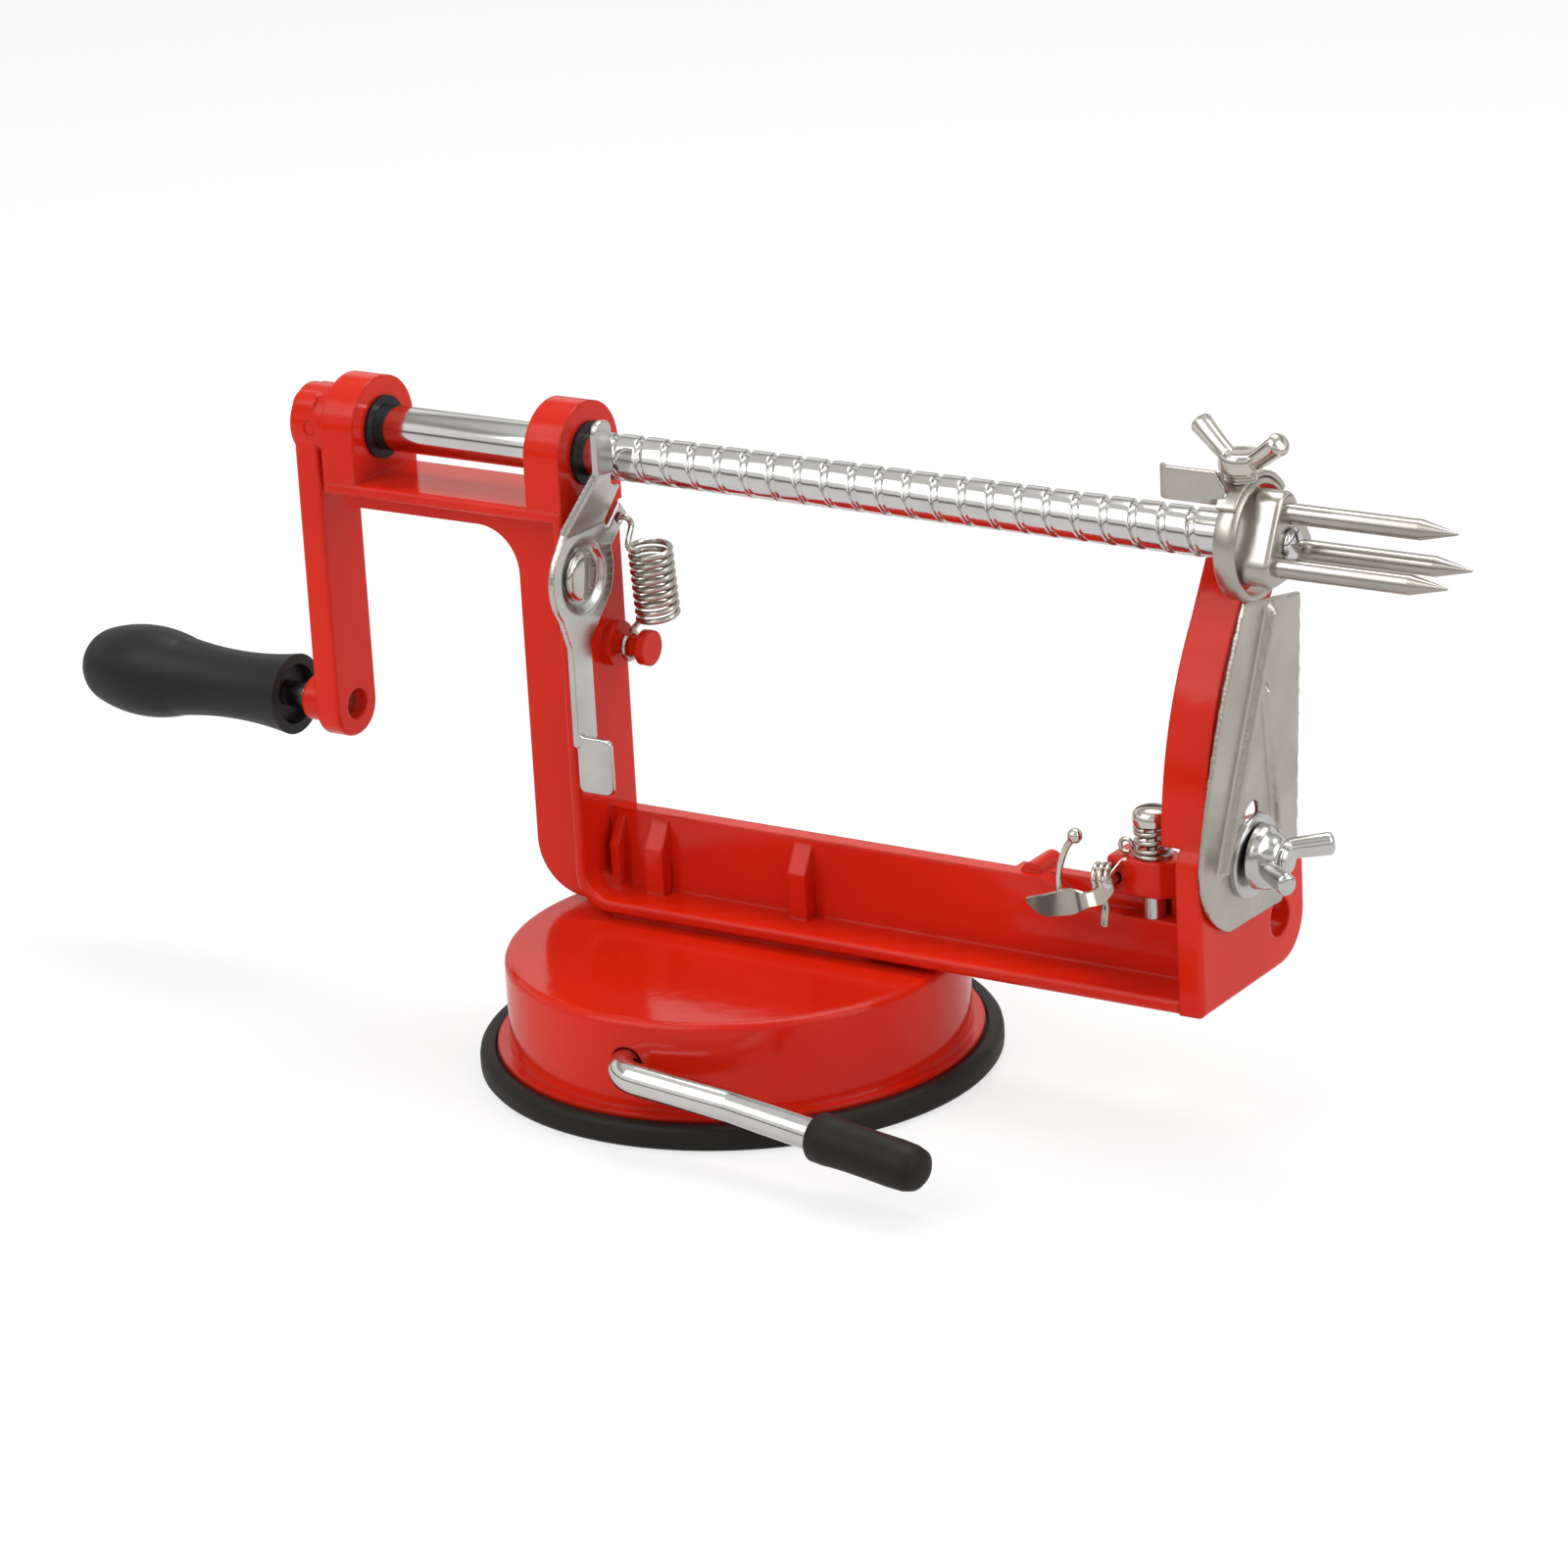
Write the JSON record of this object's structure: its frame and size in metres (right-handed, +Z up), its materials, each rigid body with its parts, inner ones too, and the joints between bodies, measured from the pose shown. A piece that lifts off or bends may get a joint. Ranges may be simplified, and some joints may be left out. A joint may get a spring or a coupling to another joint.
{
  "type": "hand cranked apple peeler",
  "caption": "Hand cranked apple peeler with a screw-fed fork, coring ring, slicing plate, sprung peeling blade and a suction base.",
  "frame": {"origin": "middle of the suction pad's underside, on the table", "axes": "+X along the feed shaft towards the fork, +Y to the back, +Z up"},
  "size_m": [0.3471, 0.1215, 0.1512],
  "materials": {
    "red_enamel": "gloss",
    "black_rubber": "matt",
    "black_plastic": "satin",
    "nickel": "polished",
    "steel": "satin",
    "bush_plastic": "satin"
  },
  "bodies": {
    "frame": {"frame_casting": "red_enamel", "base_cap": "red_enamel", "suction_pad": "black_rubber", "frame_screws": "nickel", "frame_screw_washers": "nickel", "catch_pivot_screw": "nickel", "slicer_plate": "steel", "coring_ring": "steel", "guide_strap": "steel", "slicer_bolt": "nickel", "peeler_pivot_post": "nickel", "peeler_pivot_screw": "nickel", "peeler_pivot_spring": "nickel", "catch_spring": "nickel"},
    "bushes": {"left_bush": "bush_plastic", "right_bush": "bush_plastic"},
    "shaft": {"feed_shaft": "nickel", "fork_hub": "steel", "fork_prongs": "steel", "fork_screw": "nickel", "crank_arm": "red_enamel", "crank_fixing_pin": "red_enamel", "handle_spindle": "nickel"},
    "handle": {"handle_grip": "black_plastic", "grip_clip": "black_plastic"},
    "catch": {"catch_lever": "nickel"},
    "stud": {"pad_stud": "steel"},
    "suction_lever": {"lever_rod": "nickel", "lever_sleeve": "black_rubber", "lever_cam": "steel"},
    "wing_screw": {"top_wing_screw": "nickel"},
    "washer": {"slicer_washer": "nickel"},
    "wing_nut": {"slicer_wing_nut": "nickel"},
    "peeler": {"peeler_arm": "red_enamel", "blade_pin": "nickel", "blade_spring": "nickel"},
    "blade": {"peeler_blade": "steel", "blade_guide_wire": "nickel"}
  },
  "joints": [
    {"name": "crank_turn", "type": "hinge", "parent": "frame", "child": "bushes", "pos_m": [0, 0.01, 0.1265], "axis": [1, 0, 0], "range_deg": [-7560, 0]},
    {"name": "shaft_feed", "type": "slide", "parent": "bushes", "child": "shaft", "axis": [1, 0, 0], "range_m": [-0.1386, 0]},
    {"name": "handle_spin", "type": "hinge", "parent": "shaft", "child": "handle", "pos_m": [-0.15, 0.01, 0.0613], "axis": [1, 0, 0], "continuous": true},
    {"name": "catch_release", "type": "hinge", "parent": "frame", "child": "catch", "pos_m": [-0.0353, 0.0015, 0.1018], "axis": [1, 0, 0], "range_deg": [0, 8], "stiffness_Nm_per_rad": 0.08, "springref_deg": -28.65, "deforming": ["catch_spring"]},
    {"name": "suction_lever_turn", "type": "hinge", "parent": "frame", "child": "suction_lever", "pos_m": [0, 0, 0.0159], "axis": [0.0872, -0.9962, 0], "range_deg": [0, 90]},
    {"name": "pad_lift", "type": "slide", "parent": "frame", "child": "stud", "axis": [0, 0, 1], "range_m": [0, 0.0025], "deforming": ["suction_pad"]},
    {"name": "wing_screw_turn", "type": "hinge", "parent": "frame", "child": "wing_screw", "pos_m": [0.1213, 0.0068, 0.143], "axis": [0, 0, 1], "range_deg": [0, 180]},
    {"name": "washer_slide", "type": "slide", "parent": "frame", "child": "washer", "axis": [1, 0, 0], "range_m": [0, 0.0016]},
    {"name": "wing_nut_turn", "type": "hinge", "parent": "washer", "child": "wing_nut", "pos_m": [0.12, 0.0154, 0.0573], "axis": [1, 0, 0], "range_deg": [0, 720.1]},
    {"name": "peeler_swing", "type": "hinge", "parent": "frame", "child": "peeler", "pos_m": [0.0958, 0.012, 0.05], "axis": [0, 0, 1], "range_deg": [0, 60]},
    {"name": "blade_swing", "type": "hinge", "parent": "peeler", "child": "blade", "pos_m": [0.089, 0.0034, 0.0506], "axis": [0, 1, 0], "range_deg": [-8, 20], "stiffness_Nm_per_rad": 0.01}
  ],
  "couplings": [
    {"joint": "shaft_feed", "follows": "crank_turn", "m_per_rad": 0.0010504},
    {"joint": "pad_lift", "follows": "suction_lever_turn", "m_per_rad": 0.0015915},
    {"joint": "wing_nut_turn", "follows": "washer_slide", "rad_per_m": 7854}
  ]
}
